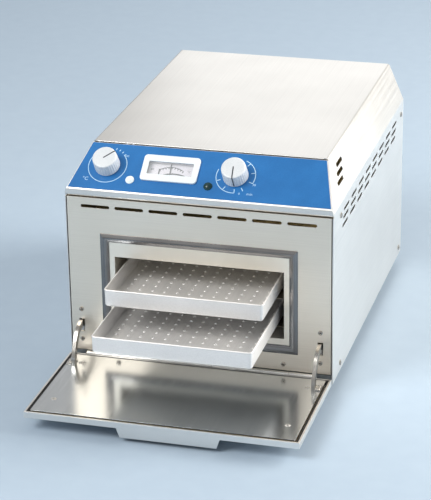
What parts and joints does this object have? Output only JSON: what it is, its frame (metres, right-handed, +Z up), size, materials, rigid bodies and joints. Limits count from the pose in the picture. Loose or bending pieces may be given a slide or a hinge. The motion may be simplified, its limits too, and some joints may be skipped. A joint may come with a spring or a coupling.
{
  "type": "dry heat sterilizer",
  "caption": "Bench-top dry heat sterilizer with a drop-down door, pull-out trays, and a sloping control panel with knobs, pilot lamps and a thermometer.",
  "frame": {"origin": "middle of the whole object's footprint, on the surface that the feet stand on", "axes": "+Z up, +Y from the door towards the back, +X to the right of someone facing the door"},
  "size_m": [0.3432, 0.6236, 0.2939],
  "materials": {
    "stainless_brushed": "brushed, satin",
    "stainless_satin": "satin rolled sheet",
    "stainless_polished": "polished",
    "frame_steel": "bright, heat darkened",
    "zinc_screw": "turned, slightly glossy",
    "panel_foil": "satin printed polyester foil",
    "knob_plastic": "moulded, satin",
    "bezel_plastic": "moulded, satin",
    "lens_clear": "clear moulded lens",
    "lens_green": "tinted moulded lens",
    "window_clear": "clear",
    "dial_paper": "printed card",
    "needle_black": "painted",
    "moulded_dark": "moulded",
    "works_plastic": "moulded",
    "rubber_black": "moulded",
    "seal_black": "extruded silicone",
    "tray_aluminium": "satin anodised",
    "insulation_wool": "mineral wool",
    "heater_mica": "mica sheet",
    "copper": "drawn",
    "base_steel": "galvanised sheet"
  },
  "bodies": {
    "cabinet": {"housing_cover": "stainless_satin", "cover_rail_left": "base_steel", "cover_rail_right": "base_steel", "base_pan": "base_steel", "rubber_feet": "rubber_black", "foot_screws": "zinc_screw", "back_panel": "stainless_satin", "back_screws": "zinc_screw", "cover_screws": "zinc_screw", "fascia": "stainless_brushed", "fascia_screws": "zinc_screw", "control_panel": "stainless_satin", "panel_foil": "panel_foil", "thermostat_body": "works_plastic", "timer_body": "works_plastic", "pilot_lamp_clear": "lens_clear", "pilot_lamp_green": "lens_green", "lamp_holders": "moulded_dark", "meter_bezel": "bezel_plastic", "meter_window": "window_clear", "meter_dial": "dial_paper", "meter_case": "moulded_dark", "opening_frame": "frame_steel", "chamber_liner": "stainless_brushed", "tray_rail_left": "stainless_brushed", "tray_rail_right": "stainless_brushed", "heater_top": "heater_mica", "heater_bottom": "heater_mica", "insulation": "insulation_wool", "chamber_supports": "base_steel", "thermostat_bulb": "copper", "overheat_cutout": "moulded_dark", "terminal_block": "works_plastic", "mains_inlet": "moulded_dark", "hinge_leaf_body": "stainless_satin", "hinge_pin": "zinc_screw"},
    "door": {"door_shell": "stainless_satin", "door_plate": "stainless_polished", "door_insulation": "insulation_wool", "door_seal": "seal_black", "door_screws": "zinc_screw", "door_arm_left": "stainless_satin", "door_arm_right": "stainless_satin", "hinge_leaf_door": "stainless_satin"},
    "upper_tray": {"upper_tray": "tray_aluminium"},
    "lower_tray": {"lower_tray": "tray_aluminium"},
    "temperature_knob": {"temperature_knob": "knob_plastic", "temperature_shaft": "zinc_screw"},
    "timer_knob": {"timer_knob": "knob_plastic", "timer_shaft": "zinc_screw"},
    "needle": {"meter_needle": "needle_black"}
  },
  "joints": [
    {"name": "door_hinge", "type": "hinge", "parent": "cabinet", "child": "door", "pos_m": [0, -0.1372, 0.0256], "axis": [-1, 0, 0], "range_deg": [0, 90]},
    {"name": "upper_tray_slide", "type": "slide", "parent": "cabinet", "child": "upper_tray", "axis": [0, 1, 0], "range_m": [0, 0.0847]},
    {"name": "lower_tray_slide", "type": "slide", "parent": "cabinet", "child": "lower_tray", "axis": [0, 1, 0], "range_m": [0, 0.1383]},
    {"name": "temperature_knob_turn", "type": "hinge", "parent": "cabinet", "child": "temperature_knob", "pos_m": [-0.1225, -0.10488, 0.26924], "axis": [0, 0.6044, -0.7967], "range_deg": [-184, 86]},
    {"name": "timer_knob_turn", "type": "hinge", "parent": "cabinet", "child": "timer_knob", "pos_m": [0.0415, -0.10488, 0.26924], "axis": [0, 0.6044, -0.7967], "range_deg": [-175, 135]},
    {"name": "needle_swing", "type": "hinge", "parent": "cabinet", "child": "needle", "pos_m": [-0.0415, -0.12082, 0.25715], "axis": [0, 0.6044, -0.7967], "range_deg": [-40, 40], "stiffness_Nm_per_rad": 0.001}
  ],
  "couplings": [
    {"joint": "upper_tray_slide", "follows": "door_hinge", "m_per_rad": 0.0539},
    {"joint": "lower_tray_slide", "follows": "door_hinge", "m_per_rad": 0.088}
  ]
}
